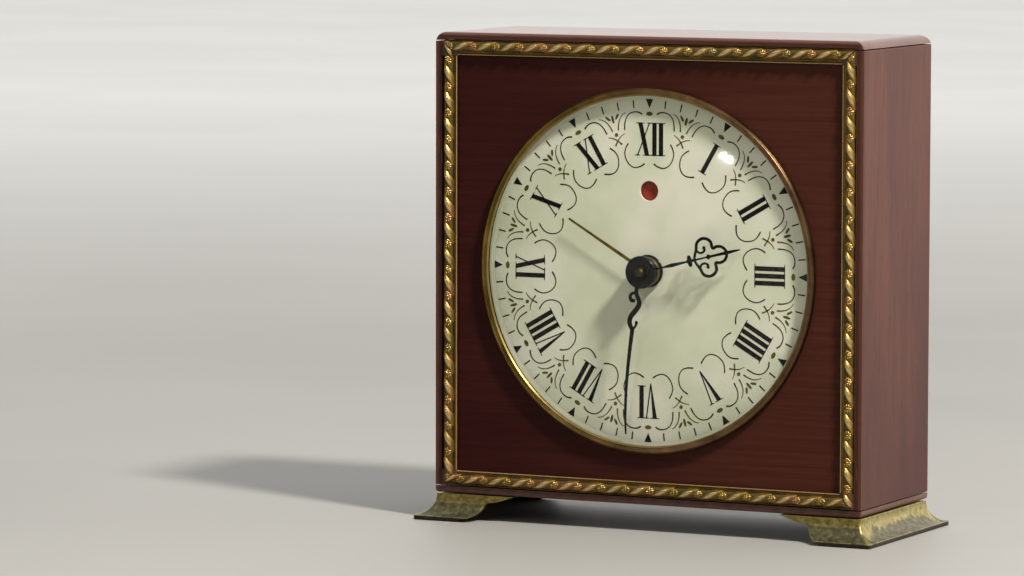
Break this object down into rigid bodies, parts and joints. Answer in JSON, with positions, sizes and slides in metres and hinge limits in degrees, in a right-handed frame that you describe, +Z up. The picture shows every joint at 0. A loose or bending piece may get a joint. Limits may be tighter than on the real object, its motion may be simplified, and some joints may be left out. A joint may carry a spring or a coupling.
{
  "type": "mantel alarm clock",
  "caption": "Square wooden mantel alarm clock with a domed glass over a cream roman dial, brass bezel, gilt rope moulding and brass bracket feet.",
  "frame": {"origin": "on the shelf, under the middle of the case", "axes": "+X to the viewer's right, +Y from the dial towards the back, +Z up"},
  "size_m": [0.1472, 0.07, 0.145],
  "materials": {
    "dark_mahogany": "satin lacquer",
    "side_mahogany": "worn satin lacquer",
    "gilt_moulding": "embossed, polished on the high points",
    "bezel_brass": "aged, satin",
    "foot_brass": "tarnished, bright where rubbed",
    "dial_glass": "polished",
    "dial_paint": "satin cream paint with printed chapters",
    "hand_black": "gloss black",
    "hand_gold": "lacquered",
    "movement_brass": "clean, satin",
    "movement_steel": "zinc plated",
    "motor_steel": "plain",
    "red_flag": "matt red paint",
    "back_board": "pressed board, dark stain",
    "black_plastic": "moulded",
    "coil_tape": "varnished tape"
  },
  "bodies": {
    "case": {"back_cover": "back_board", "bezel": "bezel_brass", "bottom_board": "dark_mahogany", "coil": "coil_tape", "cord_grommet": "black_plastic", "cover_screw_1": "movement_steel", "cover_screw_2": "movement_steel", "cover_screw_3": "movement_steel", "cover_screw_4": "movement_steel", "dial_plate": "dial_paint", "dial_ring": "dial_paint", "foot_screw_1": "movement_steel", "foot_screw_2": "movement_steel", "foot_screw_3": "movement_steel", "foot_screw_4": "movement_steel", "front_panel": "dark_mahogany", "glass": "dial_glass", "indicator_pin": "movement_steel", "left_foot": "foot_brass", "left_side": "dark_mahogany", "motor_can": "motor_steel", "moulding_bottom": "gilt_moulding", "moulding_left": "gilt_moulding", "moulding_right": "gilt_moulding", "moulding_top": "gilt_moulding", "movement_front_plate": "movement_steel", "movement_rear_plate": "movement_steel", "pillar_1": "movement_brass", "pillar_2": "movement_brass", "pillar_3": "movement_brass", "pillar_4": "movement_brass", "plate_screw_1": "movement_steel", "plate_screw_2": "movement_steel", "plate_screw_3": "movement_steel", "plate_screw_4": "movement_steel", "reed_clamp": "movement_steel", "right_foot": "foot_brass", "right_side": "side_mahogany", "stator_core": "motor_steel", "top_board": "dark_mahogany"},
    "minute": {"minute_hand": "hand_black", "centre_nut": "bezel_brass", "centre_arbor": "movement_brass", "centre_wheel": "movement_brass"},
    "hour": {"hour_hand": "hand_black", "hour_wheel": "movement_brass"},
    "set_train": {"minute_wheel": "movement_brass", "time_set_knob": "black_plastic"},
    "third": {"third_wheel": "movement_brass"},
    "motor_rotor": {"motor_pinion": "motor_steel"},
    "alarm": {"alarm_hand": "hand_gold", "alarm_wheel": "movement_brass"},
    "alarm_set": {"alarm_set_arbor": "movement_brass", "alarm_set_knob": "black_plastic"},
    "alarm_stop": {"alarm_stop_rod": "movement_steel", "alarm_stop_knob": "black_plastic"},
    "indicator": {"indicator_flag": "red_flag"},
    "reed": {"buzzer_reed": "movement_steel"}
  },
  "joints": [
    {"name": "minute_turn", "type": "hinge", "parent": "case", "child": "minute", "pos_m": [0, 0, 0.0765], "axis": [0, 1, 0], "continuous": true},
    {"name": "hour_turn", "type": "hinge", "parent": "case", "child": "hour", "pos_m": [0, 0, 0.0765], "axis": [0, 1, 0], "continuous": true},
    {"name": "time_set_turn", "type": "hinge", "parent": "case", "child": "set_train", "pos_m": [0.01128, 0, 0.0724], "axis": [0, 1, 0], "continuous": true},
    {"name": "third_turn", "type": "hinge", "parent": "case", "child": "third", "pos_m": [0, 0, 0.0873], "axis": [0, 1, 0], "continuous": true},
    {"name": "motor_turn", "type": "hinge", "parent": "case", "child": "motor_rotor", "pos_m": [0.005, 0, 0.09596], "axis": [0, 1, 0], "continuous": true},
    {"name": "alarm_turn", "type": "hinge", "parent": "case", "child": "alarm", "pos_m": [0, 0, 0.0765], "axis": [0, 1, 0], "continuous": true},
    {"name": "alarm_set_turn", "type": "hinge", "parent": "case", "child": "alarm_set", "pos_m": [-0.01175, 0, 0.07222], "axis": [0, 1, 0], "continuous": true},
    {"name": "alarm_stop_pull", "type": "slide", "parent": "case", "child": "alarm_stop", "axis": [0, 1, 0], "range_m": [0, 0.004]},
    {"name": "indicator_lift", "type": "hinge", "parent": "case", "child": "indicator", "pos_m": [0.014, 0, 0.0999], "axis": [0, 1, 0], "range_deg": [0, 35]},
    {"name": "reed_flex", "type": "hinge", "parent": "case", "child": "reed", "pos_m": [-0.008, 0, 0.07575], "axis": [0, 1, 0], "range_deg": [0, 2], "stiffness_Nm_per_rad": 0.02}
  ],
  "couplings": [
    {"joint": "hour_turn", "follows": "minute_turn", "ratio": 0.083333},
    {"joint": "time_set_turn", "follows": "minute_turn", "ratio": -0.33333},
    {"joint": "third_turn", "follows": "minute_turn", "ratio": -5},
    {"joint": "motor_turn", "follows": "minute_turn", "ratio": 20},
    {"joint": "alarm_set_turn", "follows": "alarm_turn", "ratio": -4}
  ]
}
